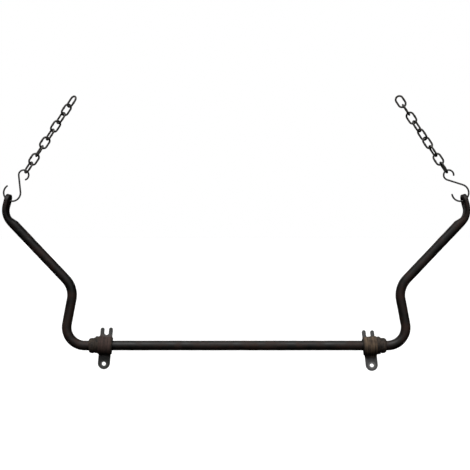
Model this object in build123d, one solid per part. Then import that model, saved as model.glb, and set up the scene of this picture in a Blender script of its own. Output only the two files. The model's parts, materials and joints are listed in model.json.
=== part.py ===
"""A vehicle anti-roll bar hung by its two eyes on two S-hooks and two short chains.

The bar carries two split rubber bushes in pressed-steel brackets. Millimetres, +Z up, +X along the bar.
The origin is midway between the two hanging points, which are inside the crowns of the two top links.
"""

import os
from math import acos, cos, degrees, radians, sin

from build123d import *

# The bar: a round section with two bends on each side, as corners of its right half (offset, height)
BAR_DIAMETER = 22.0
LOWER_CORNER = Vector(391.0, 0.0)
WAIST_CORNER = Vector(366.2, 130.6)
UPPER_CORNER = Vector(523.1, 295.8)
LOWER_BEND = 41.0
WAIST_BEND = 52.0
UPPER_BEND = 36.0

# The forged ends of the bar: round steel drawn down to a flat eye
FORGING_START = 31.0  # before the upper corner
TIP_LEAN = 14.0  # degrees inwards from upright
EYE_TURN = 10.0  # degrees of the flat about the tip's own axis
EYE_DISTANCE = 31.5  # from the upper corner to the eye's centre
EYE_THICKNESS = 11.5
EYE_WIDTH = 31.0
EYE_HOLE = 14.0
EYE_CHAMFER = 3.0
EYE_EDGE = 2.0  # rounding
FLAT_BELOW_EYE = 12.0
FLAT_OVERLAP = 2.0  # how far the drawn-down steel runs into the flat
# share of the drawn-down length, thickness in the plane of the bend, width across it, outward shift
DRAWN_SECTIONS = (
    (0.00, 22.0, 22.0, 0.0),
    (0.16, 19.5, 23.0, 1.0),
    (0.34, 16.5, 25.5, 1.6),
    (0.56, 14.5, 28.0, 1.0),
    (0.78, 13.0, 30.0, 0.4),
    (1.00, 10.8, 29.5, 0.0),
)

# The load line, along which each hook and chain pulls, and where the hook bears in the eye
LOAD_LINE_LEAN = 33.2  # degrees inwards from upright
BEARING_OFFSET = 516.0
BEARING_HEIGHT = 328.6

# The S-hooks: bent round wire with a large loop for the eye and a small loop for the chain
HOOK_WIRE = 4.0
LARGE_LOOP = 19.0  # radius of the wire's centre line
SMALL_LOOP = 11.3
LOOP_CENTRES = 48.0
LARGE_SWEEP = 245.0
SMALL_SWEEP = 262.0
CROPPED_END = 0.5  # chamfer

# The chain: welded oval links
LINK_WIRE = 4.5
LINK_PITCH = 22.2
LINK_WIDTH = 16.75  # between the centre lines of the two legs
LINK_PLAY = 0.35
# the twist of each link about the load line, from the hook up, on top of a quarter turn for every other one
LEFT_TWISTS = (32.0, 24.0, 20.0, 24.0, 31.0, 36.0, 38.0, 40.0, 44.0)
RIGHT_TWISTS = (6.0, 2.0, 12.0, 24.0, 39.0, 54.0, 71.0, 84.0, 80.0)

# The brackets: 3 mm steel pressed round the bush, with a fork foot above and a tab foot below
STEEL = 3.0
STRAP_RADIUS = 17.5  # inside
STRAP_WIDTH = 28.0
FEET_BACK = 16.0  # from the bar's axis to the back of both feet
FOOT_BEND_FRONT = 3.0  # radii where the strap turns into the feet
FOOT_BEND_BACK = 5.0
FORK_TOP = 39.8
FORK_WIDTH = 27.8
FORK_SLOT = 10.0
SLOT_BOTTOM = 23.0
FINGER_STEP = 0.9  # the outboard finger is this much below the fork's top, the inboard one above it
TAB_BOTTOM = 55.0
TAB_WIDTH = 27.3
TAB_HOLE = 9.0
TAB_HOLE_DROP = 42.5
# each one's offset along the bar, its turn about it, and how far its fork leans inboard, in degrees
LEFT_BRACKET = (296.2, 0.0, 5.0)
RIGHT_BRACKET = (302.4, -20.0, 4.7)

# The bushes: rubber, D-shaped in the strap, with a thin lip inboard, a flange outboard, and a sleeve beyond it
BUSH_PLAY = 0.05
FACE_PLAY = 0.1  # beside the strap
BODY_OVERLAP = 0.5  # of the D into lip and flange
BODY_BACK = 15.8
LIP_LENGTH = 2.2
LIP_RADIUS = 19.0
LIP_BACK = 13.0
LIP_CHAMFER = 1.0
FLANGE_LENGTH = 9.0
FLANGE_RADIUS = 18.8
FLANGE_BACK = 13.0
FLANGE_CHAMFER = 1.8
SLEEVE_BACK = 12.5
# the sleeve's side view: distance outboard and radius
SLEEVE_PROFILE = ((17.0, 17.2), (30.4, 17.2), (33.0, 16.2), (35.0, 14.7), (36.2, 12.8))
SPLIT_WIDTH = 0.8

# What follows from them
CROWN_SPACING = LINK_PITCH + LINK_WIRE + LINK_PLAY
HOOK_REACH = LARGE_LOOP + LOOP_CENTRES + SMALL_LOOP
FIRST_CROWN = HOOK_REACH - (HOOK_WIRE + LINK_WIRE) / 2 - LINK_PLAY
LINKS = len(LEFT_TWISTS)
HANGING_DISTANCE = FIRST_CROWN + (LINKS - 1) * LINK_PITCH + CROWN_SPACING - LINK_WIRE / 2
LEAN = radians(LOAD_LINE_LEAN)
BAR_Z = -BEARING_HEIGHT - HANGING_DISTANCE * cos(LEAN)
BAR_PLANE = Plane(origin=(0, 0, BAR_Z), x_dir=(1, 0, 0), z_dir=(0, -1, 0))
LEFT, RIGHT = -1, 1


def on_bar_plane(corner, side):
    """A corner of the right half as a point in space, on the side asked for."""
    return Vector(side * corner.X, 0, BAR_Z + corner.Y)


def line_plane(side, distance, twist=0.0):
    """A plane on the load line, that far above the hook's bearing, with Z up the line and X across it."""
    up = Vector(-side * sin(LEAN), 0, cos(LEAN))
    across = Vector(cos(LEAN), 0, side * sin(LEAN))
    origin = Vector(side * BEARING_OFFSET, 0, BAR_Z + BEARING_HEIGHT) + up * distance
    return Plane(origin=origin, x_dir=across.rotate(Axis((0, 0, 0), up), twist), z_dir=up)


def drawn_end(start, tip):
    """The length where the right end's round steel turns the upper bend and flattens to the eye's section."""
    path = FilletPolyline(start, UPPER_CORNER, tip, radius=UPPER_BEND)
    sections = []
    for share, thickness, width, shift in DRAWN_SECTIONS:
        along = path % share
        outwards = Vector(along.Y, -along.X, 0)
        place = Plane(origin=path @ share + outwards * shift, x_dir=outwards, z_dir=along)
        turned = place * Rot(0, 0, EYE_TURN * share)
        sections.append(turned * Ellipse(thickness / 2, width / 2))
    return loft(sections)


def eye(centre, tip_direction):
    """The flat eye of the right end: a rounded plate with a chamfered hole across it."""
    across = Vector(0, 0, 1).rotate(Axis((0, 0, 0), tip_direction), EYE_TURN)
    plate_plane = Plane(origin=centre, x_dir=across, z_dir=across.cross(tip_direction))
    outline = Circle(EYE_WIDTH / 2)
    outline += Pos(0, -FLAT_BELOW_EYE / 2) * Rectangle(EYE_WIDTH, FLAT_BELOW_EYE)
    plate = extrude(outline, EYE_THICKNESS / 2, both=True)
    flats = plate.faces().filter_by(Axis.Z)
    plate = fillet(flats.edges(), EYE_EDGE)
    hole = Cylinder(EYE_HOLE / 2, 2 * EYE_THICKNESS)
    rim = EYE_HOLE / 2 + EYE_CHAMFER
    bevel = Cone(EYE_HOLE / 2, rim, EYE_CHAMFER, align=(Align.CENTER, Align.CENTER, Align.MAX))
    bevel = Pos(0, 0, EYE_THICKNESS / 2) * bevel
    plate = plate - hole - bevel - bevel.mirror(Plane.XY)
    return plate_plane * plate


def anti_roll_bar():
    """The whole bar: the round length through four bends, and two forged eyes."""
    towards = (UPPER_CORNER - WAIST_CORNER).normalized()
    start = UPPER_CORNER - towards * FORGING_START
    upwards = Vector(-sin(radians(TIP_LEAN)), cos(radians(TIP_LEAN)))
    flat_start = UPPER_CORNER + upwards * (EYE_DISTANCE - FLAT_BELOW_EYE + FLAT_OVERLAP)
    right_half = (LOWER_CORNER, WAIST_CORNER, start)
    corners = [on_bar_plane(corner, LEFT) for corner in reversed(right_half)]
    corners += [on_bar_plane(corner, RIGHT) for corner in right_half]
    path = FilletPolyline(*corners, radius=[WAIST_BEND, LOWER_BEND, LOWER_BEND, WAIST_BEND])
    round_section = Plane(origin=path @ 0, z_dir=path % 0) * Circle(BAR_DIAMETER / 2)
    bar = sweep(round_section, path=path)
    right_end = drawn_end(start, flat_start) + eye(UPPER_CORNER + upwards * EYE_DISTANCE, upwards)
    right_end = BAR_PLANE * right_end
    return bar + right_end + right_end.mirror(Plane.YZ)


def s_hook(side):
    """A bent-wire S in the plane of the bar: large loop, straight shank on the inner tangent, small loop."""
    large_centre = (0, LARGE_LOOP)
    small_centre = (0, LARGE_LOOP + LOOP_CENTRES)
    leaves = 90 - degrees(acos((LARGE_LOOP + SMALL_LOOP) / LOOP_CENTRES))
    large = CenterArc(large_centre, LARGE_LOOP, leaves - LARGE_SWEEP, LARGE_SWEEP)
    small = CenterArc(small_centre, SMALL_LOOP, leaves + 180, -SMALL_SWEEP)
    path = Wire([large, Line(large @ 1, small @ 0), small])
    hook = sweep(Plane(origin=path @ 0, z_dir=path % 0) * Circle(HOOK_WIRE / 2), path=path)
    hook = chamfer(hook.faces().filter_by(GeomType.PLANE).edges(), CROPPED_END)
    line = line_plane(side, 0)
    return Plane(origin=line.origin, x_dir=line.x_dir, z_dir=-line.y_dir) * hook


def chain_link(side, number, twist):
    """One oval link on the load line. Odd links stand a quarter turn from even ones."""
    leg = CROWN_SPACING - LINK_WIDTH
    outline = Plane(origin=(0, 0, 0), x_dir=(0, 0, 1), z_dir=(0, 1, 0)) * SlotCenterToCenter(leg, LINK_WIDTH)
    path = outline.wire()
    link = sweep(Plane(origin=path @ 0, z_dir=path % 0) * Circle(LINK_WIRE / 2), path=path)
    middle = FIRST_CROWN + (number - 1) * LINK_PITCH + CROWN_SPACING / 2
    quarter = 90 if number % 2 else 0
    return line_plane(side, middle, twist + quarter) * link


def strap_outline(radius, back):
    """A D: a half circle in front of the bar's axis and straight sides back to a flat."""
    front = Circle(radius) & Pos(-radius / 2, 0) * Rectangle(radius, 2 * radius)
    return front + Pos(back / 2, 0) * Rectangle(back, 2 * radius)


def corners_at(sketch, depth, height):
    """The corners of a side view that are that deep, and that far above or below the axis."""
    return sketch.vertices().filter_by(lambda v: abs(v.X - depth) < 0.01 and abs(abs(v.Y) - height) < 0.01)


def bracket_side_view():
    """The pressing seen along the bar: the strap's D and the two feet, rounded where they meet."""
    feet_front = FEET_BACK - STEEL
    outside = STRAP_RADIUS + STEEL
    side_view = strap_outline(outside, feet_front)
    middle = (FORK_TOP - TAB_BOTTOM) / 2
    feet = Rectangle(STEEL, FORK_TOP + TAB_BOTTOM + 2 * FINGER_STEP)
    side_view += Pos(feet_front + STEEL / 2, middle) * feet
    side_view = fillet(corners_at(side_view, feet_front, outside), FOOT_BEND_FRONT)
    side_view -= strap_outline(STRAP_RADIUS, 2 * FEET_BACK)
    return fillet(corners_at(side_view, FEET_BACK, STRAP_RADIUS), FOOT_BEND_BACK)


def bracket_front_view():
    """The pressing's outline from the front, X outboard: fork, strap and tab, with the slot and the hole."""
    outline = Rectangle(STRAP_WIDTH, 2 * (STRAP_RADIUS + STEEL))
    finger = (FORK_WIDTH - FORK_SLOT) / 2
    for outboard in (-1, 1):
        place = outboard * (FORK_SLOT + finger) / 2
        height = FORK_TOP - outboard * FINGER_STEP - finger / 2
        outline += Pos(place, height / 2) * Rectangle(finger, height)
        outline += Pos(place, height) * Circle(finger / 2)
    slot_middle = SLOT_BOTTOM + FORK_SLOT / 2
    outline += Pos(0, slot_middle / 2) * Rectangle(FORK_WIDTH, slot_middle)
    outline -= Pos(0, slot_middle) * Circle(FORK_SLOT / 2)
    tab_middle = TAB_BOTTOM - TAB_WIDTH / 2
    outline += Pos(0, -tab_middle / 2) * Rectangle(TAB_WIDTH, tab_middle)
    outline += Pos(0, -tab_middle) * Circle(TAB_WIDTH / 2)
    return outline - Pos(0, -TAB_HOLE_DROP) * Circle(TAB_HOLE / 2)


def bracket(tilt):
    """The pressed-steel bracket in its own frame: X outboard along the bar, Y backwards, Z up its feet."""
    across = Plane(origin=(0, 0, 0), x_dir=(0, 1, 0), z_dir=(1, 0, 0))
    facing = Plane(origin=(0, 0, 0), x_dir=(1, 0, 0), z_dir=(0, -1, 0))
    strip = extrude(across * bracket_side_view(), STRAP_WIDTH / 2, both=True)
    return tilt * (strip & extrude(facing * bracket_front_view(), TAB_BOTTOM, both=True))


def bush(tilt):
    """The rubber bush in the bracket's frame: its D, lip and flange tilt with the strap, its sleeve doesn't."""
    across = Plane(origin=(0, 0, 0), x_dir=(0, 1, 0), z_dir=(1, 0, 0))
    half = STRAP_WIDTH / 2
    body_section = strap_outline(STRAP_RADIUS - BUSH_PLAY, BODY_BACK)
    body = extrude(across * body_section, half + BODY_OVERLAP, both=True)
    lip_start = across.offset(-half - LIP_LENGTH)
    lip = extrude(lip_start * strap_outline(LIP_RADIUS, LIP_BACK), LIP_LENGTH - FACE_PLAY)
    lip = chamfer(lip.faces().sort_by(Axis.X)[0].edges(), LIP_CHAMFER)
    flange_start = across.offset(half + FACE_PLAY)
    flange = extrude(flange_start * strap_outline(FLANGE_RADIUS, FLANGE_BACK), FLANGE_LENGTH)
    flange = chamfer(flange.faces().sort_by(Axis.X)[-1].edges(), FLANGE_CHAMFER)

    start, end = SLEEVE_PROFILE[0][0], SLEEVE_PROFILE[-1][0]
    half_section = make_face(Polyline((start, 0), *SLEEVE_PROFILE, (end, 0), close=True))
    reach = 2 * end
    sleeve = revolve(half_section, Axis.X)
    sleeve &= Pos(0, SLEEVE_BACK - reach / 2, 0) * Box(2 * reach, reach, reach)
    whole = tilt * (body + lip + flange) + sleeve
    bore = extrude(across * Circle(BAR_DIAMETER / 2 + BUSH_PLAY), reach, both=True)
    split = Pos(0, FEET_BACK, 0) * Box(2 * reach, 2 * FEET_BACK, SPLIT_WIDTH)
    return whole - bore - split


def build():
    """Every piece in its place, by name."""
    pieces = {"anti_roll_bar": anti_roll_bar()}
    for name, side, twists, seat in (
        ("left", LEFT, LEFT_TWISTS, LEFT_BRACKET),
        ("right", RIGHT, RIGHT_TWISTS, RIGHT_BRACKET),
    ):
        offset, turn, lean = seat
        place = Pos(side * offset, 0, BAR_Z) * Rot(turn, 0, 0)
        tilt = Rot(0, -lean, 0)
        for kind, shape in (("bracket", bracket(tilt)), ("bush", bush(tilt))):
            handed = shape if side == RIGHT else shape.mirror(Plane.YZ)
            pieces[f"{name}_{kind}"] = place * handed
        pieces[f"{name}_hook"] = s_hook(side)
        for number, twist in enumerate(twists, 1):
            pieces[f"{name}_link_{number}"] = chain_link(side, number, twist)
    return pieces


os.makedirs("parts", exist_ok=True)
for node, piece in build().items():
    piece.label = node
    export_step(piece, f"parts/{node}.step")
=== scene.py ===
# %% [markdown]
# # A used anti-roll bar, hung up on hooks and chain
# An anti-roll bar is a long spring-steel rod that ties a vehicle's two wheels together. This one has been
# taken off and hung up by the flat eyes at its ends. Two rubber bushes, each in a pressed-steel bracket,
# still sit on its straight length. The CAD model is the frame: it gives every place and every joint, and
# this script rebuilds each piece around it with rounded edges, weld beads, dents and worn finishes.

# %% Load the frame
import json
import math

import bmesh
import bpy
from mathutils import Matrix, Vector


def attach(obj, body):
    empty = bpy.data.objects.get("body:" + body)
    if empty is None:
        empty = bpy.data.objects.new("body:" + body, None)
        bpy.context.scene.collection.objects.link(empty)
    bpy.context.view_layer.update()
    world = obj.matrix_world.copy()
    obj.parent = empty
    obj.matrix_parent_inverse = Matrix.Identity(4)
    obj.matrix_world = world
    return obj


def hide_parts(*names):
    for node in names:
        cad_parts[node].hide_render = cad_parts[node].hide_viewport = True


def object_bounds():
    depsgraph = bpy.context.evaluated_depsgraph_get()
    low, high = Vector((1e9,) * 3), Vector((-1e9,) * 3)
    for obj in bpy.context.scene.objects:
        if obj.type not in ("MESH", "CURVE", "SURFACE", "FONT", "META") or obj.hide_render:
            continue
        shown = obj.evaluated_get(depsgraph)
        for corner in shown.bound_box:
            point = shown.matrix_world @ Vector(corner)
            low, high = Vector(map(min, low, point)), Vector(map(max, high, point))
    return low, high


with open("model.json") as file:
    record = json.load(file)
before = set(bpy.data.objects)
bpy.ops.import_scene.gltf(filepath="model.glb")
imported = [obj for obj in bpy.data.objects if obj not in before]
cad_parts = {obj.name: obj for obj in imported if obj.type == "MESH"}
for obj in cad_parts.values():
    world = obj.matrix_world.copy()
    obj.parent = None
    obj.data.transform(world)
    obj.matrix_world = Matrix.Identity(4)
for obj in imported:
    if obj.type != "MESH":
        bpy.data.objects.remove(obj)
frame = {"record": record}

MM = 0.001
cad_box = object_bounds()
joints = {joint["name"]: joint for joint in frame["record"]["behaviour"]["joints"]}
bpy.ops.object.select_all(action="DESELECT")
print("CAD box:", cad_box)

# %% [markdown]
# ## Places from the frame
# Each hook and chain hangs along one slanting load line. Two joints lie on it, the eye's and the hook's, so
# the line needs no measuring: it runs from one to the other. The bar's own axis is the brackets' axis.

# %% Load lines and the bar's axis
BEARING = Vector(joints["bar_swing"]["pos_m"])
HOOK_TOP = Vector(joints["left_hook_swing"]["pos_m"])
BAR_AXIS_Z = joints["left_bracket_turn"]["pos_m"][2]
HOOK_REACH = (HOOK_TOP - BEARING).length
LEAN = math.atan2(HOOK_TOP.x - BEARING.x, HOOK_TOP.z - BEARING.z)
LEFT, RIGHT = -1, 1
SIDES = {"left": LEFT, "right": RIGHT}


def line_place(side, distance, twist=0.0):
    """The matrix of a place on the load line: Z up the line, X across it, turned about it by twist degrees."""
    up = Vector((-side * math.sin(LEAN), 0, math.cos(LEAN)))
    across = Matrix.Rotation(math.radians(twist), 3, up) @ Vector((math.cos(LEAN), 0, side * math.sin(LEAN)))
    origin = Vector((side * abs(BEARING.x), 0, BEARING.z)) + up * distance
    return placed(origin, across, up.cross(across), up)


def placed(origin, x_axis, y_axis, z_axis):
    """A matrix from an origin and three axes."""
    turn = Matrix((x_axis, y_axis, z_axis)).transposed().to_4x4()
    return Matrix.Translation(origin) @ turn


print("load line leans", round(math.degrees(LEAN), 1), "degrees; hook reach", round(HOOK_REACH / MM, 1), "mm")

# %% [markdown]
# ## How the round pieces are made
# A bent rod could be a curve with a bevel, but a curve can't flatten into an eye. Here one ring of points is
# added and extruded from station to station, as by hand, and each station says what section the ring takes
# there. Every point remembers its angle round the ring, so a round section can turn oval or D-shaped.

# %% Walk along a bent line
def walk(corners, radii, spacing):
    """Points and directions along a line through corners, with a round bend at each inner corner."""
    corners = [Vector(corner) for corner in corners]
    found = []
    start = corners[0]
    for before, corner, after, radius in zip(corners, corners[1:], corners[2:], radii):
        into = (corner - before).normalized()
        out = (after - corner).normalized()
        turn = into.angle(out)
        cut = radius * math.tan(turn / 2)
        bend_start = corner - into * cut
        found += straight(start, bend_start, spacing)
        inwards = (out - into * into.dot(out)).normalized()
        middle = bend_start + inwards * radius
        steps = max(3, round(radius * turn / spacing))
        for step in range(steps):
            angle = turn * step / steps
            point = middle + (into * math.sin(angle) - inwards * math.cos(angle)) * radius
            found.append((point, into * math.cos(angle) + inwards * math.sin(angle)))
        start = corner + out * cut
    found += straight(start, corners[-1], spacing)
    found.append((corners[-1], (corners[-1] - corners[-2]).normalized()))
    return found


def straight(start, end, spacing):
    """Points and directions along a straight run, without its last point."""
    run = end - start
    if run.length < spacing / 10:
        return []
    steps = max(1, round(run.length / spacing))
    return [(start + run * (step / steps), run.normalized()) for step in range(steps)]


# %% Sections that a ring can take
def oval(place, half_x, half_y, square=2.0):
    """A section from round (2) to nearly square (6), as a function of the angle."""
    def point(angle):
        cos, sin = math.cos(angle), math.sin(angle)
        x = math.copysign(abs(cos) ** (2 / square), cos) * half_x
        y = math.copysign(abs(sin) ** (2 / square), sin) * half_y
        return place @ Vector((x, y, 0))
    return point


def dee(place, radius, back):
    """A D-shaped section: round where X is negative, square where it is positive, flat at X = back."""
    def point(angle):
        cos, sin = math.cos(angle), math.sin(angle)
        if cos <= 0:
            return place @ Vector((radius * cos, radius * sin, 0))
        reach = min(back / max(cos, 1e-6), radius / max(abs(sin), 1e-6))
        return place @ Vector((reach * cos, reach * sin, 0))
    return point


# %% Grow a tube from station to station
def selected_ring(obj, section):
    """Puts the selected ring of points on a section."""
    mesh = bmesh.from_edit_mesh(obj.data)
    turn = mesh.verts.layers.float["turn"]
    for vert in mesh.verts:
        if vert.select:
            vert.co = section(vert[turn])
    bmesh.update_edit_mesh(obj.data)


def grow(name, sides, sections, joined=False):
    """A ring extruded through a list of sections, with closed ends, or joined end to start."""
    bpy.ops.mesh.primitive_circle_add(vertices=sides, radius=1.0)
    obj = bpy.context.object
    obj.name = name
    bpy.ops.object.mode_set(mode="EDIT")
    mesh = bmesh.from_edit_mesh(obj.data)
    turn = mesh.verts.layers.float.new("turn")
    for vert in mesh.verts:
        vert[turn] = math.atan2(vert.co.y, vert.co.x)
    bmesh.update_edit_mesh(obj.data)
    selected_ring(obj, sections[0])
    for section in sections[1:]:
        bpy.ops.mesh.extrude_region_move()
        selected_ring(obj, section)
    bpy.ops.mesh.select_all(action="DESELECT")
    bpy.ops.mesh.select_non_manifold()
    if joined:
        bpy.ops.mesh.bridge_edge_loops()
    else:
        bpy.ops.mesh.edge_face_add()
    bpy.ops.mesh.select_all(action="SELECT")
    bpy.ops.mesh.normals_make_consistent(inside=False)
    mesh = bmesh.from_edit_mesh(obj.data)
    mesh.verts.layers.float.remove(mesh.verts.layers.float["turn"])
    bmesh.update_edit_mesh(obj.data)
    bpy.ops.object.mode_set(mode="OBJECT")
    return obj


# %% [markdown]
# Modifiers finish a piece and are then applied, so that the mesh itself has the shape. These helpers keep that
# to one line each.

# %% Apply modifiers and smooth
def pick(obj):
    """Makes a piece the only selected one and the active one."""
    bpy.ops.object.select_all(action="DESELECT")
    obj.select_set(True)
    bpy.context.view_layer.objects.active = obj


def finished(obj, kind, **settings):
    """Adds a modifier with its settings and applies it."""
    pick(obj)
    modifier = obj.modifiers.new(kind.lower(), kind)
    for setting, value in settings.items():
        setattr(modifier, setting, value)
    bpy.ops.object.modifier_apply(modifier=modifier.name)


def smoothed(obj, degrees=35):
    """Smooth shading that keeps edges sharper than the angle."""
    pick(obj)
    bpy.ops.object.shade_smooth_by_angle(angle=math.radians(degrees))
    obj.select_set(False)


def turn_right_way_out(obj):
    """Turns a mesh's faces outwards, where mirroring or placing points has turned them in."""
    pick(obj)
    bpy.ops.object.mode_set(mode="EDIT")
    bpy.ops.mesh.select_all(action="SELECT")
    bpy.ops.mesh.normals_make_consistent(inside=False)
    bpy.ops.object.mode_set(mode="OBJECT")


def cut_away(obj, cutters):
    """Cuts other objects out of one, and removes them."""
    for cutter in cutters:
        finished(obj, "BOOLEAN", operation="DIFFERENCE", solver="EXACT", object=cutter)
        bpy.data.objects.remove(cutter, do_unlink=True)


# %% [markdown]
# ## The bar
# The real bar is 22 mm spring steel, bent hot and painted. Each end is hammered flat between dies and
# pierced for a bolt. It grows from the middle of the straight length outwards: round through two bends,
# then drawn down to a flat eye while it turns the third. A mirror makes the other half.

# %% The bar's line and sections
LOWER_CORNER = Vector((391.0, 0, 0)) * MM
WAIST_CORNER = Vector((366.2, 0, 130.6)) * MM
UPPER_CORNER = Vector((523.1, 0, 295.8)) * MM
BENDS = (41 * MM, 52 * MM, 36 * MM)
TIP_LEAN = math.radians(14)
EYE_TURN = math.radians(10)
EYE_DISTANCE = 31.5 * MM
EYE_THICKNESS = 11.5 * MM
EYE_RADIUS = 15.5 * MM
EYE_HOLE = 7 * MM
FORGING_START = 31 * MM  # before the upper corner
FLAT_START = 10 * MM  # before the eye's centre
FLAT_SQUARENESS = 4.5
# share of the drawn-down length, thickness, width, outward shift, squareness of the section
DRAWN = (
    (0.00, 22.0, 22.0, 0.0, 2.0),
    (0.16, 19.5, 23.0, 1.0, 2.1),
    (0.34, 16.5, 25.5, 1.6, 2.4),
    (0.56, 14.5, 28.0, 1.0, 2.9),
    (0.78, 12.6, 30.0, 0.4, 3.6),
    (1.00, 11.5, 31.0, 0.0, FLAT_SQUARENESS),
)
axis_height = Matrix.Translation((0, 0, BAR_AXIS_Z))
tip = Vector((-math.sin(TIP_LEAN), 0, math.cos(TIP_LEAN)))
eye_centre = UPPER_CORNER + tip * EYE_DISTANCE


def drawn_size(share):
    """Thickness, width, shift and squareness at a share of the drawn-down length, eased between the stages."""
    for low, high in zip(DRAWN, DRAWN[1:]):
        if share <= high[0]:
            part = (share - low[0]) / (high[0] - low[0])
            return [a + (b - a) * part for a, b in zip(low[1:], high[1:])]
    return list(DRAWN[-1][1:])


def bar_section(point, along, thickness, width, turn=0.0, square=2.0):
    """A section of the bar at a point of its line, X outwards in the plane of the bends."""
    outwards = Vector((along.z, 0, -along.x))
    place = axis_height @ placed(point, outwards, along.cross(outwards), along)
    return oval(place @ Matrix.Rotation(turn, 4, "Z"), thickness / 2, width / 2, square)


# %% Grow half the bar and mirror it
line = walk([(0, 0, 0), LOWER_CORNER, WAIST_CORNER, UPPER_CORNER, eye_centre], BENDS, 4 * MM)
lengths = [0.0]
for (here, _), (there, _) in zip(line, line[1:]):
    lengths.append(lengths[-1] + (there - here).length)
towards_upper = (UPPER_CORNER - WAIST_CORNER).normalized()
forging = UPPER_CORNER - towards_upper * FORGING_START
nearest = min(range(len(line)), key=lambda n: (line[n][0] - forging).length)
forging_length = lengths[-1] - FLAT_START - lengths[nearest]

stations = []
for (point, along), length in zip(line, lengths):
    share = min(1.0, max(0.0, (length - lengths[nearest]) / forging_length))
    thickness, width, shift, square = drawn_size(share)
    outwards = Vector((along.z, 0, -along.x))
    centre = point + outwards * shift * MM
    stations.append(bar_section(centre, along, thickness * MM, width * MM, EYE_TURN * share, square))
END_STEPS = 12
END_SWEEP = math.radians(84)
END_THINNING = 0.3
for step in range(1, END_STEPS + 1):
    angle = END_SWEEP * step / END_STEPS
    width = 2 * EYE_RADIUS * math.cos(angle)
    thickness = EYE_THICKNESS * (1 - END_THINNING * (step / END_STEPS) ** 5)
    point = eye_centre + tip * EYE_RADIUS * math.sin(angle)
    stations.append(bar_section(point, tip, thickness, width, EYE_TURN, FLAT_SQUARENESS))
bar = grow("bar_forging", 48, stations)

bpy.ops.object.mode_set(mode="EDIT")
bpy.ops.mesh.select_all(action="DESELECT")
mesh = bmesh.from_edit_mesh(bar.data)
for face in list(mesh.faces):
    if len(face.verts) > 4 and abs(face.calc_center_median().x) < MM:
        mesh.faces.remove(face)
bmesh.update_edit_mesh(bar.data)
bpy.ops.object.mode_set(mode="OBJECT")
finished(bar, "MIRROR", use_mirror_merge=True, merge_threshold=0.05 * MM)
print("bar:", len(bar.data.polygons), "faces")

# %% [markdown]
# Bent and forged steel is never quite true. A cloud of shallow hollows, a quarter of a millimetre deep and
# about 15 mm apart, moves the surface itself, so that the highlights along the bar waver as real ones do.

# %% Uneven forged surface
hollows = bpy.data.textures.new("forging_hollows", "CLOUDS")
hollows.noise_scale = 15 * MM
hollows.noise_depth = 2
finished(bar, "DISPLACE", texture=hollows, texture_coords="LOCAL", strength=0.5 * MM, mid_level=0.5)

# %% [markdown]
# The eye's hole is pierced hot, and its rim is flared on both sides so that a hook or a bolt can't cut into it.
# A spool with flared ends, taken out of the flat, gives the hole and both rims in one step. It comes after the
# uneven surface, so that the hole stays true.

# %% Pierce the eyes
# depth from the flat's face and how far the hole has opened there, in millimetres
LIP_FLARE = (
    (-3.6, 0.0), (-3.0, 0.12), (-2.4, 0.65), (-1.2, 1.88), (-0.5, 2.7), (-0.1, 3.3), (0.3, 3.9), (3.0, 4.5),
)


def eye_spool(side):
    """The shape of the hole and its two flared rims."""
    along_tip = Vector((side * tip.x, 0, tip.z))
    across = Matrix.Rotation(side * EYE_TURN, 3, along_tip) @ Vector((0, -side, 0))
    centre = Vector((side * eye_centre.x, 0, eye_centre.z))
    place = axis_height @ placed(centre, across, along_tip, across.cross(along_tip))
    half = EYE_THICKNESS / 2
    profile = [(0.0, EYE_HOLE)] + [(half + depth * MM, EYE_HOLE + flare * MM) for depth, flare in LIP_FLARE]
    both = [(-depth, radius) for depth, radius in reversed(profile[1:])] + profile
    rings = [oval(place @ Matrix.Translation((0, 0, depth)), radius, radius) for depth, radius in both]
    return grow("eye_spool", 40, rings)


cut_away(bar, [eye_spool(LEFT), eye_spool(RIGHT)])
smoothed(bar, 40)
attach(bar, "bar")
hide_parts("anti_roll_bar")

# %% [markdown]
# ## The chain
# Each link is a length of wire bent to an oval and butt-welded in the middle of one leg, which leaves a
# bead. A torus is nearly a link: its top half moves up and its bottom half down, the stretched faces are
# divided again, and the rings at the weld swell. One link is modelled, then copied to each place.

# %% Model one link
LINK_WIRE = 4.5 * MM
LINK_PITCH = 22.2 * MM
LINK_WIDTH = 16.75 * MM
LINK_PLAY = 0.35 * MM
CROWN_SPACING = LINK_PITCH + LINK_WIRE + LINK_PLAY
HOOK_WIRE = 4 * MM
FIRST_CROWN = HOOK_REACH - (HOOK_WIRE + LINK_WIRE) / 2 - LINK_PLAY
TORUS_STEPS = 40


def select_where(obj, test):
    """Selects the points that pass a test, in edit mode."""
    bpy.ops.mesh.select_all(action="DESELECT")
    bpy.ops.mesh.select_mode(type="VERT")
    mesh = bmesh.from_edit_mesh(obj.data)
    for vert in mesh.verts:
        vert.select_set(test(vert.co))
    mesh.select_flush(True)
    bmesh.update_edit_mesh(obj.data)


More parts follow.
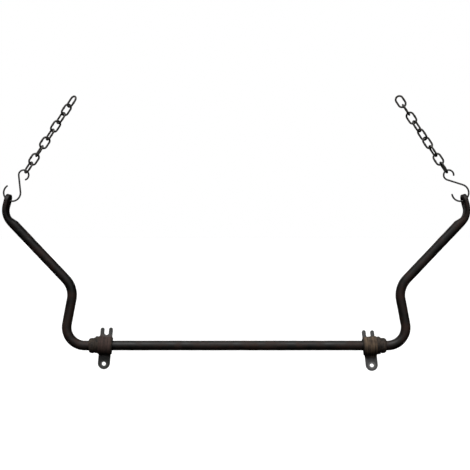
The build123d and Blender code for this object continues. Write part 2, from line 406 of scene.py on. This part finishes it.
half_step = math.pi / TORUS_STEPS
bpy.ops.mesh.primitive_torus_add(
    major_radius=LINK_WIDTH / 2, minor_radius=LINK_WIRE / 2, major_segments=TORUS_STEPS,
    minor_segments=20, rotation=(math.pi / 2, half_step, 0))
link = bpy.context.object
bpy.ops.object.transform_apply(location=True, rotation=True, scale=True)
half_leg = (CROWN_SPACING - LINK_WIDTH) / 2
bpy.ops.object.mode_set(mode="EDIT")
for direction in (1, -1):
    select_where(link, lambda co: co.z * direction > 0)
    bpy.ops.transform.translate(value=(0, 0, direction * half_leg))
mesh = bmesh.from_edit_mesh(link.data)
for edge in mesh.edges:
    edge.select_set(edge.calc_length() > half_leg)
bmesh.update_edit_mesh(link.data)
bpy.ops.mesh.subdivide(number_cuts=9)
WELD = ((2.4 * MM, 1.04), (1.5 * MM, 1.07), (0.7 * MM, 1.05))
for reach, swell in WELD:
    select_where(link, lambda co: co.x < 0 and abs(co.z) < reach)
    bpy.ops.transform.resize(value=(swell, swell, 1), center_override=(-LINK_WIDTH / 2, 0, 0))
bpy.ops.object.mode_set(mode="OBJECT")
smoothed(link, 60)
print("link:", len(link.data.polygons), "faces,", [round(size / MM, 1) for size in link.dimensions], "mm")

# %% Hang the links
TWISTS = {
    "left": (32, 24, 20, 24, 31, 36, 38, 40, 44),
    "right": (6, 2, 12, 24, 39, 54, 71, 84, 80),
}
LOWER_RUN = 4
TOP_LINK = 9
chain = []
for name, side in SIDES.items():
    for number, twist in enumerate(TWISTS[name], 1):
        copy = link.copy()
        copy.data = link.data.copy()
        copy.name = f"{name}_chain_link_{number}"
        bpy.context.collection.objects.link(copy)
        middle = FIRST_CROWN + (number - 1) * LINK_PITCH + CROWN_SPACING / 2
        quarter = 90 if number % 2 else 0
        copy.data.transform(line_place(side, middle, twist + quarter))
        run = "lower" if number <= LOWER_RUN else "upper"
        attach(copy, "hanging_links" if number == TOP_LINK else f"{name}_{run}_chain")
        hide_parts(f"{name}_link_{number}")
        chain.append(copy)
bpy.data.objects.remove(link, do_unlink=True)

# %% [markdown]
# ## The S-hooks
# Each hook is 4 mm wire bent cold round two pegs, a large one and a small one, and cropped at both ends. The
# shank is the straight run that touches both loops on their inner sides. The ring walks round the large
# loop, along the shank and round the small loop, and each cropped end is pinched a little.

# %% Model and hang the hooks
LARGE_LOOP = 19.0 * MM
SMALL_LOOP = 11.3 * MM
LOOP_CENTRES = HOOK_REACH - LARGE_LOOP - SMALL_LOOP
LARGE_SWEEP = 245
SMALL_SWEEP = 262
END_PINCH = 0.78
leaves = 90 - math.degrees(math.acos((LARGE_LOOP + SMALL_LOOP) / LOOP_CENTRES))


def loop_points(centre_height, radius, first, last, step=7.0):
    """Points and directions round a loop in the plane of the hook, from one angle to another."""
    count = max(2, round(abs(last - first) / step))
    way = math.copysign(1, last - first)
    points = []
    for number in range(count + 1):
        angle = math.radians(first + (last - first) * number / count)
        point = Vector((radius * math.cos(angle), 0, centre_height + radius * math.sin(angle)))
        points.append((point, Vector((-math.sin(angle), 0, math.cos(angle))) * way))
    return points


hook_line = loop_points(LARGE_LOOP, LARGE_LOOP, leaves - LARGE_SWEEP, leaves)
small = loop_points(LARGE_LOOP + LOOP_CENTRES, SMALL_LOOP, leaves + 180, leaves + 180 - SMALL_SWEEP)
hook_line += straight(hook_line[-1][0], small[0][0], 3 * MM)[1:] + small
hooks = []
for name, side in SIDES.items():
    rings = []
    for number, (point, along) in enumerate(hook_line):
        across = Vector((along.z, 0, -along.x))
        place = line_place(side, 0) @ placed(point, across, along.cross(across), along)
        radius = HOOK_WIRE / 2 * (END_PINCH if number in (0, len(hook_line) - 1) else 1)
        rings.append(oval(place, radius, radius))
    hook = grow(f"{name}_s_hook", 24, rings)
    smoothed(hook, 50)
    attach(hook, f"{name}_hook")
    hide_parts(f"{name}_hook")
    hooks.append(hook)

# %% [markdown]
# ## The brackets
# A bracket is cut from 3 mm strip and pressed round the bush: an open fork above, so that it can slide under
# a bolt already in place, and a round tab with a bolt hole below. Here a flat strip is extruded along the
# pressing's side view and given its thickness, and the front outline, as a thick cutter, trims it. A bevel
# then rounds the sheared edges.

# %% The pressing's side view
STEEL = 3 * MM
STRAP_MIDDLE = 19 * MM
FEET_MIDDLE = 14.5 * MM
STRAP_WIDTH = 28 * MM
FORK_TOP = 39.8 * MM
FORK_WIDTH = 27.8 * MM
FORK_SLOT = 10 * MM
SLOT_BOTTOM = 23 * MM
FINGER_STEP = 0.9 * MM
TAB_BOTTOM = 55 * MM
TAB_WIDTH = 27.3 * MM
TAB_HOLE = 4.5 * MM
TAB_HOLE_DROP = 42.5 * MM
FOOT_BEND = 4.5 * MM
EDGE_ROUNDING = 0.45 * MM
CUTTER_DEPTH = 80 * MM
# each bracket's turn about the bar, and how far its fork leans inboard, in degrees
SEATS = {"left": (0, 5), "right": (-20, 4.7)}
side_view = walk(
    [(0, FEET_MIDDLE, FORK_TOP + STEEL), (0, FEET_MIDDLE, STRAP_MIDDLE), (0, -STRAP_MIDDLE, STRAP_MIDDLE),
     (0, -STRAP_MIDDLE, -STRAP_MIDDLE), (0, FEET_MIDDLE, -STRAP_MIDDLE), (0, FEET_MIDDLE, -TAB_BOTTOM - STEEL)],
    (FOOT_BEND, STRAP_MIDDLE, STRAP_MIDDLE, FOOT_BEND), 2 * MM)


def arc(centre_x, centre_z, radius, first, last, steps):
    """Points of an arc in the front view."""
    angles = [math.radians(first + (last - first) * step / steps) for step in range(steps + 1)]
    return [(centre_x + radius * math.cos(a), centre_z + radius * math.sin(a)) for a in angles]


def front_outline():
    """The bracket's outline from the front: fork, strap and tab, anticlockwise from the tab's right side."""
    finger = (FORK_WIDTH - FORK_SLOT) / 4
    finger_middle = FORK_SLOT / 2 + finger
    finger_top = FORK_TOP - finger
    slot_middle = SLOT_BOTTOM + FORK_SLOT / 2
    half_strap = STRAP_WIDTH / 2
    edge = STRAP_MIDDLE + STEEL / 2
    points = [(TAB_WIDTH / 2, -edge - 1 * MM), (half_strap, -edge), (half_strap, edge)]
    points.append((FORK_WIDTH / 2, edge + 1 * MM))
    points += arc(finger_middle, finger_top - FINGER_STEP, finger, 0, 180, 14)
    points += arc(0, slot_middle, FORK_SLOT / 2, 0, -180, 20)
    points += arc(-finger_middle, finger_top + FINGER_STEP, finger, 0, 180, 14)
    points += [(-FORK_WIDTH / 2, edge + 1 * MM), (-half_strap, edge), (-half_strap, -edge)]
    points.append((-TAB_WIDTH / 2, -edge - 1 * MM))
    points += arc(0, -TAB_BOTTOM + TAB_WIDTH / 2, TAB_WIDTH / 2, 180, 360, 32)
    return points


# %% Press one bracket
ACROSS = 6
STRIP_WIDTH = STRAP_WIDTH + 2 * MM
strip_start = side_view[0][0]
bpy.ops.mesh.primitive_plane_add(size=STRIP_WIDTH, location=strip_start + Vector((0, STRIP_WIDTH / 2, 0)))
pressing = bpy.context.object
pressing.name = "pressing"
bpy.ops.object.transform_apply(location=True, rotation=True, scale=True)
bpy.ops.object.mode_set(mode="EDIT")
select_where(pressing, lambda co: co.y > strip_start.y + STRIP_WIDTH / 2)
bpy.ops.mesh.delete(type="VERT")
bpy.ops.mesh.select_all(action="SELECT")
bpy.ops.mesh.subdivide(number_cuts=ACROSS - 1)
for (here, _), (there, _) in zip(side_view, side_view[1:]):
    bpy.ops.mesh.extrude_region_move(TRANSFORM_OT_translate={"value": there - here})
bpy.ops.mesh.select_all(action="SELECT")
bpy.ops.mesh.normals_make_consistent(inside=False)
bpy.ops.object.mode_set(mode="OBJECT")
finished(pressing, "SOLIDIFY", thickness=STEEL, offset=0.0, use_even_offset=True)

outline = front_outline()
bpy.ops.mesh.primitive_circle_add(vertices=len(outline), fill_type="NGON")
cutter = bpy.context.object
for vert, (x, z) in zip(cutter.data.vertices, outline):
    vert.co = (x, 0, z)
finished(cutter, "SOLIDIFY", thickness=CUTTER_DEPTH, offset=0.0)
turn_right_way_out(cutter)
finished(pressing, "BOOLEAN", operation="INTERSECT", solver="EXACT", object=cutter)
bpy.data.objects.remove(cutter, do_unlink=True)
bpy.ops.mesh.primitive_cylinder_add(
    vertices=40, radius=TAB_HOLE, depth=4 * STEEL, location=(0, FEET_MIDDLE, -TAB_HOLE_DROP),
    rotation=(math.pi / 2, 0, 0))
cut_away(pressing, [bpy.context.object])
finished(pressing, "BEVEL", width=EDGE_ROUNDING, segments=3, limit_method="ANGLE", angle_limit=math.radians(50))
print("bracket:", len(pressing.data.polygons), "faces,", [round(size / MM, 1) for size in pressing.dimensions])

# %% [markdown]
# The two brackets are one pressing, handed left and right: each leans a few degrees with its fork inboard,
# and the right one has slipped round the bar by twenty. A UV map holds each point's place on the flat of the
# bracket, in decimetres, so that rust and wear stay with the holes however the bracket is turned.

# %% Seat the brackets
DECIMETRE = 0.1


def seat_matrix(name):
    """From the bracket's own frame, X outboard, to its place on the bar."""
    side = SIDES[name]
    handed = Matrix.Scale(side, 4, (1, 0, 0))
    place = Matrix.Translation(joints[f"{name}_bracket_turn"]["pos_m"])
    turn, _ = SEATS[name]
    return place @ Matrix.Rotation(math.radians(turn), 4, "X") @ handed


def lean_matrix(name):
    """The bracket's lean, fork inboard, in its own frame."""
    _, lean = SEATS[name]
    return Matrix.Rotation(-math.radians(lean), 4, "Y")


def flat_map(obj):
    """A UV map of a piece seen from its own front."""
    layer = obj.data.uv_layers.new(name="front")
    for corner in obj.data.loops:
        co = obj.data.vertices[corner.vertex_index].co
        layer.data[corner.index].uv = (co.x / DECIMETRE, co.z / DECIMETRE)


def seated(piece, name):
    """Puts a piece made in the bracket's own frame in its place on the bar."""
    piece.data.transform(seat_matrix(name))
    turn_right_way_out(piece)
    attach(piece, f"{name}_mounting")


flat_map(pressing)
brackets = []
for name in SIDES:
    bracket = pressing.copy()
    bracket.data = pressing.data.copy()
    bracket.name = f"{name}_pressed_bracket"
    bpy.context.collection.objects.link(bracket)
    bracket.data.transform(lean_matrix(name))
    seated(bracket, name)
    smoothed(bracket, 30)
    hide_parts(f"{name}_bracket")
    brackets.append(bracket)
bpy.data.objects.remove(pressing, do_unlink=True)

# %% [markdown]
# ## The bushes
# A bush is moulded rubber, split along its back so that it can be opened over the bar. Its D-shaped body
# fills the strap and leans with it, and so do its lip and flange, while the sleeve outboard stays true to the
# bar. The ring grows from the bore's inboard mouth, over the outside, and back through the bore to where it
# began.

# %% Sections of a bush
BORE = 11.05 * MM
BORE_MOUTH = 11.3 * MM
MOUTH_RIM = BORE + 1 * MM
BODY_BACK = 15.8 * MM
LIP_BACK = 13 * MM
FLANGE_BACK = 13 * MM
SLEEVE_BACK = 12.5 * MM
# a section's own X points backwards and its Z outboard
along_bar = placed(Vector((0, 0, 0)), Vector((0, 1, 0)), Vector((0, 0, 1)), Vector((1, 0, 0)))


def cut_round(place, radius, back):
    """A round section cut off flat at X = back."""
    def point(angle):
        reach = min(radius, back / max(math.cos(angle), 1e-6))
        return place @ Vector((reach * math.cos(angle), reach * math.sin(angle), 0))
    return point


# distance outboard and radius, in millimetres, from the lip's face to the sleeve's end
LIP = ((-16.3, 17.6), (-16.0, 18.5), (-15.4, 19.0), (-14.7, 19.0), (-14.2, 18.7))
BODY = ((-14.1, 17.4), (-7.0, 17.45), (0.0, 17.45), (7.0, 17.45), (14.1, 17.4))
FLANGE = ((14.2, 18.5), (14.8, 18.8), (18.0, 18.8), (20.8, 18.8), (22.0, 18.3), (22.8, 17.6), (23.1, 16.8))
SLEEVE = (
    (25.0, 16.9), (25.8, 17.2), (28.0, 17.2), (30.4, 17.1), (32.2, 16.6), (33.6, 15.9), (35.0, 14.7), (35.9, 13.4),
    (36.2, 12.3),
)
BORE_STATIONS = (35.4, 20.0, 0.0, -12.0)


def bush_sections(lean):
    """Every section of one bush, the first ones leaning with the strap."""
    def at(outboard, leaning=False):
        place = along_bar @ Matrix.Translation((0, 0, outboard * MM))
        return lean @ place if leaning else place

    mouth = at(LIP[0][0], True)
    sections = [oval(mouth, BORE_MOUTH, BORE_MOUTH), oval(mouth, MOUTH_RIM, MOUTH_RIM)]
    sections += [dee(at(outboard, True), radius * MM, LIP_BACK) for outboard, radius in LIP]
    sections += [dee(at(outboard, True), radius * MM, BODY_BACK) for outboard, radius in BODY]
    sections += [dee(at(outboard, True), radius * MM, FLANGE_BACK) for outboard, radius in FLANGE]
    sections += [cut_round(at(outboard), radius * MM, SLEEVE_BACK) for outboard, radius in SLEEVE]
    sections.append(oval(at(SLEEVE[-1][0] - 0.1), BORE_MOUTH, BORE_MOUTH))
    return sections + [oval(at(outboard), BORE, BORE) for outboard in BORE_STATIONS]


# %% Mould and seat the bushes
SAW_PLACE = Vector((8, 18, 0)) * MM
SAW_SIZE = Vector((80, 24, 0.9)) * MM
bushes = []
for name in SIDES:
    bush = grow(f"{name}_rubber_bush", 72, bush_sections(lean_matrix(name)), joined=True)
    bpy.ops.mesh.primitive_cube_add(size=1, location=SAW_PLACE)
    saw = bpy.context.object
    saw.scale = SAW_SIZE
    bpy.ops.object.transform_apply(location=True, rotation=True, scale=True)
    cut_away(bush, [saw])
    seated(bush, name)
    smoothed(bush, 40)
    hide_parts(f"{name}_bush")
    bushes.append(bush)
print("bush:", len(bushes[0].data.polygons), "faces")

# %% [markdown]
# ## Finishes
# Everything here is dark, so the finishes are told apart by how they shine and by what lies on them. Colours
# are picked as hex values, as on a screen, and turned to the linear values that the renderer mixes.

# %% Colour and node helpers
def colour(code):
    """A linear RGBA colour from an sRGB hex code."""
    levels = [int(code[n:n + 2], 16) / 255 for n in (1, 3, 5)]
    return [c / 12.92 if c <= 0.04045 else ((c + 0.055) / 1.055) ** 2.4 for c in levels] + [1.0]


def add(tree, kind, settings=(), values=(), links=()):
    """Adds one node with its settings, its inputs' values and what they are linked to."""
    node = tree.nodes.new(kind)
    for name, value in dict(settings).items():
        setattr(node, name, value)
    for name, value in dict(values).items():
        node.inputs[name].default_value = value
    for name, source in dict(links).items():
        tree.links.new(source, node.inputs[name])
    return node


def new_finish(name):
    """A material, its empty tree and its Object coordinates."""
    finish = bpy.data.materials.new(name)
    finish.use_nodes = True
    finish.node_tree.nodes.clear()
    return finish, finish.node_tree, add(finish.node_tree, "ShaderNodeTexCoord").outputs["Object"]


def noise(tree, where, scale, detail, roughness=0.5):
    """Noise with that many grains a metre."""
    values = {"Scale": scale, "Detail": detail, "Roughness": roughness}
    return add(tree, "ShaderNodeTexNoise", values=values, links={"Vector": where}).outputs["Fac"]


def stretched(tree, where, scale):
    """Coordinates scaled by different amounts along X, Y and Z."""
    return add(tree, "ShaderNodeMapping", values={"Scale": scale}, links={"Vector": where}).outputs[0]


def remap(tree, level, from_min, from_max, to_min=0.0, to_max=1.0):
    """A level moved from one range to another."""
    values = {"From Min": from_min, "From Max": from_max, "To Min": to_min, "To Max": to_max}
    return add(tree, "ShaderNodeMapRange", values=values, links={"Value": level}).outputs[0]


def times(tree, one, other):
    """Two levels multiplied."""
    return add(tree, "ShaderNodeMath", {"operation": "MULTIPLY"}, links={0: one, 1: other}).outputs[0]


def two_tone(tree, level, low, dark, high, light):
    """One colour below a low level, another above a high one, blended between."""
    ramp = add(tree, "ShaderNodeValToRGB", links={"Fac": level})
    for element, position, code in zip(ramp.color_ramp.elements, (low, high), (dark, light)):
        element.position = position
        element.color = colour(code)
    return ramp.outputs[0]


def tinted(tree, share, under, code):
    """A colour laid over what is under it, by a share."""
    mix = add(tree, "ShaderNodeMix", {"data_type": "RGBA"}, {7: colour(code)}, {0: share, 6: under})
    return mix.outputs[2]


def bump(tree, height, strength, distance, normal=None):
    """Relief in the shading, on top of another relief if there is one."""
    links = {"Height": height, "Normal": normal} if normal else {"Height": height}
    return add(tree, "ShaderNodeBump", values={"Strength": strength, "Distance": distance}, links=links).outputs[0]


def shade(tree, values, links):
    """The shader, with its constant values set on it, and the output."""
    shader = add(tree, "ShaderNodeBsdfPrincipled", values=values, links=links)
    add(tree, "ShaderNodeOutputMaterial", links={"Surface": shader.outputs[0]})


def wear(obj, finish):
    """Gives a piece its one finish."""
    obj.data.materials.clear()
    obj.data.materials.append(finish)


# %% [markdown]
# ### Old black paint on forged steel
# Chassis paint on a bar that has seen years of road: brown-black, faintly glossy where it is sound, dull and
# red-brown where rust has crept under it. The grain is coarse enough to see, about 2 mm for the pitting and
# 25 mm for the patches. Paint is a dielectric, so its IOR is 1.5, and grime keeps its reflection low.

# %% The bar's paint
paint, tree, where = new_finish("old_black_chassis_paint")
patches = noise(tree, where, 34.0, 5.0, 0.62)
grain = noise(tree, where, 420.0, 4.0, 0.6)
scuffs = noise(tree, stretched(tree, where, (18.0, 160.0, 160.0)), 1.0, 6.0, 0.7)
base = two_tone(tree, patches, 0.32, "#0c0b0a", 0.66, "#191715")
rust_share = remap(tree, times(tree, patches, grain), 0.23, 0.36, to_max=0.75)
rusted = tinted(tree, rust_share, base, "#2e1a13")
dusty = tinted(tree, remap(tree, scuffs, 0.56, 0.75, to_max=0.3), rusted, "#3f3b38")
gloss = remap(tree, patches, 0.3, 0.7, 0.34, 0.68)
pits = bump(tree, grain, 0.35, 0.4 * MM)
dents = bump(tree, patches, 0.3, 1.2 * MM, pits)
shade(tree, {"IOR": 1.5, "Specular IOR Level": 0.2}, {"Base Color": dusty, "Roughness": gloss, "Normal": dents})
wear(bar, paint)

# %% [markdown]
# ### Rusted pressed steel
# The brackets' paint has mostly gone. The strap is dull brown rust, in streaks round it, and the feet, which
# were clamped against the vehicle, are grey steel that the bolts have rubbed bright round the tab's hole. The
# UV map gives the distance to that hole and how far a point is from the strap. The two brackets' browns and
# greys differ as painted light and shade, set for how each one is lit.

# %% The brackets' finish
FOOT_STARTS = (0.25, 0.33)  # decimetres from the bar's axis, from all rust to all steel
RUBBED = (0.095, 0.055)  # decimetres from the hole's centre, from not rubbed to rubbed


def pressed_steel(name, dark, light, grey):
    """Rust on the strap between two browns, in streaks round it, and worn grey steel on the feet."""
    finish, tree, where = new_finish(name)
    flat = add(tree, "ShaderNodeUVMap", {"uv_map": "front"}).outputs[0]
    blotches = noise(tree, where, 75.0, 6.0, 0.65)
    scale = noise(tree, where, 600.0, 3.0, 0.6)
    bands = noise(tree, stretched(tree, flat, (26.0, 1.6, 1.0)), 1.0, 4.0, 0.6)
    streaky = add(tree, "ShaderNodeMix", {"data_type": "FLOAT"}, {0: 0.6}, {2: blotches, 3: bands}).outputs[0]
    brown = two_tone(tree, streaky, 0.38, dark, 0.62, light)
    steel = two_tone(tree, scale, 0.35, "#232323", 0.7, grey)

    up = add(tree, "ShaderNodeSeparateXYZ", links={0: flat}).outputs["Y"]
    height = add(tree, "ShaderNodeMath", {"operation": "ABSOLUTE"}, links={0: up}).outputs[0]
    ragged = add(tree, "ShaderNodeMath", {"operation": "MULTIPLY_ADD"}, {1: 0.12}, {0: blotches, 2: height})
    foot = remap(tree, ragged.outputs[0], *FOOT_STARTS)
    body = add(tree, "ShaderNodeMix", {"data_type": "RGBA"}, links={0: foot, 6: brown, 7: steel}).outputs[2]

    hole_place = (0, -TAB_HOLE_DROP / DECIMETRE, 0)
    to_hole = add(tree, "ShaderNodeVectorMath", {"operation": "DISTANCE"}, {1: hole_place}, {0: flat})
    worn = remap(tree, to_hole.outputs["Value"], *RUBBED, to_max=0.7)
    rubbed = tinted(tree, times(tree, worn, blotches), body, "#8b8b88")
    swells = bump(tree, blotches, 0.4, 1.0 * MM, bump(tree, scale, 0.5, 0.35 * MM))
    dull = remap(tree, foot, 0.0, 1.0, 0.85, 0.5)
    shade(tree, {"Specular IOR Level": 0.3}, {"Base Color": rubbed, "Roughness": dull, "Normal": swells})
    return finish


left_bracket, right_bracket = brackets
# Painted light and shade: the left bracket's strap is painted darker and its feet lighter, the right bracket's
# strap lighter and its feet darker, for how each is lit.
wear(left_bracket, pressed_steel("rusted_steel_left_painted_light_and_shade", "#17100e", "#43332d", "#5a5957"))
wear(right_bracket, pressed_steel("rusted_steel_right_painted_light_and_shade", "#1f1712", "#5e4e3e", "#302e2d"))

# %% [markdown]
# ### Dusty moulded rubber
# Natural rubber blackened with carbon, with road dust worked into it. Rubber scatters what it reflects, so
# it is rough all over, and the dust is a warm brown that gathers in patches about 8 mm wide.

# %% The bushes' finish
rubber, tree, where = new_finish("dusty_moulded_rubber")
dust = noise(tree, where, 125.0, 5.0, 0.7)
tint = two_tone(tree, dust, 0.36, "#120f0d", 0.72, "#40352c")
skin = bump(tree, noise(tree, where, 900.0, 2.0), 0.3, 0.2 * MM)
lumps = bump(tree, dust, 0.35, 0.6 * MM, skin)
shade(tree, {"Roughness": 0.82, "IOR": 1.52, "Specular IOR Level": 0.3}, {"Base Color": tint, "Normal": lumps})
for bush in bushes:
    wear(bush, rubber)

# %% [markdown]
# ### Tarnished steel wire and chain
# Bare steel that has gone dark: still a metal underneath, but with a film of oxide that dulls it. The hooks
# are drawn wire and stay smoother. The chain is rougher and has rust where the links rub.

# %% The hooks' and the chain's finish
def tarnished(name, dark, light, stain, roughness):
    """Dark bare steel with a stain in patches about 6 mm wide."""
    finish, tree, where = new_finish(name)
    film = noise(tree, where, 160.0, 5.0, 0.65)
    specks = noise(tree, where, 1100.0, 3.0)
    tone = two_tone(tree, film, 0.35, dark, 0.65, light)
    stain_share = remap(tree, times(tree, film, specks), 0.27, 0.4, to_max=0.6)
    stained = tinted(tree, stain_share, tone, stain)
    relief = bump(tree, specks, 0.3, 0.15 * MM)
    shade(tree, {"Metallic": 0.55, "Roughness": roughness}, {"Base Color": stained, "Normal": relief})
    return finish


wire = tarnished("tarnished_drawn_wire", "#2c2c2c", "#4a4a49", "#3d332c", 0.42)
for hook in hooks:
    wear(hook, wire)
welded = tarnished("tarnished_welded_chain", "#262524", "#4b4946", "#40332a", 0.5)
for piece in chain:
    wear(piece, welded)

# %% [markdown]
# ## Floor, light and camera
# Dark steel shows its shape by what it reflects, so an all-white room would wash it out. The sky here is
# white to look at but casts no light, and neither does the floor. One broad, soft sun overhead and in front
# lights the bar and the plain white floor, and two weak ones, lower down, reach under the straps and round the
# back. The camera stands straight in front of the bar, level, and far enough off that both arms look alike.

# %% Floor and sky
FLOOR_SIZE = 400
FLOOR_DROP = 0.35
bpy.ops.mesh.primitive_plane_add(size=FLOOR_SIZE, location=(0, 0, cad_box[0][2] - FLOOR_DROP))
floor = bpy.context.object
floor.name = "studio_floor"
white, tree, _ = new_finish("matt_white_floor_paint")
shade(tree, {"Base Color": colour("#fafafa"), "Roughness": 0.9, "Specular IOR Level": 0.1}, {})
wear(floor, white)
floor.visible_diffuse = False
floor.visible_glossy = False

world = bpy.data.worlds.new("white_studio")
bpy.context.scene.world = world
world.use_nodes = True
world.node_tree.nodes["Background"].inputs["Color"].default_value = (1, 1, 1, 1)
world.node_tree.nodes["Background"].inputs["Strength"].default_value = 1.0
world.cycles_visibility.diffuse = False
world.cycles_visibility.glossy = False

# %% Lights
# name, degrees down from overhead towards the front, degrees round, energy, degrees wide
SUNS = (
    ("main_sun", 32, -14, 4.0, 50),
    ("front_fill", 72, 16, 0.9, 70),
    ("back_fill", -62, 20, 0.7, 70),
)
for name, tilt, turn, energy, spread in SUNS:
    bpy.ops.object.light_add(type="SUN", rotation=(math.radians(tilt), 0, math.radians(turn)))
    sun = bpy.context.object
    sun.name = name
    sun.data.energy = energy
    sun.data.angle = math.radians(spread)

# %% Camera
PICTURE_WIDTH = 1.0603
CAMERA_DISTANCE = 3.2
SENSOR = 36.0
view_x = -0.0027
view_z = BAR_AXIS_Z + 0.2493
bpy.ops.object.camera_add(location=(view_x, -CAMERA_DISTANCE, view_z), rotation=(math.pi / 2, 0, 0))
camera = bpy.context.object
camera.data.sensor_width = SENSOR
camera.data.lens = SENSOR * CAMERA_DISTANCE / PICTURE_WIDTH
bpy.context.scene.camera = camera
bpy.context.scene.view_settings.view_transform = "Standard"
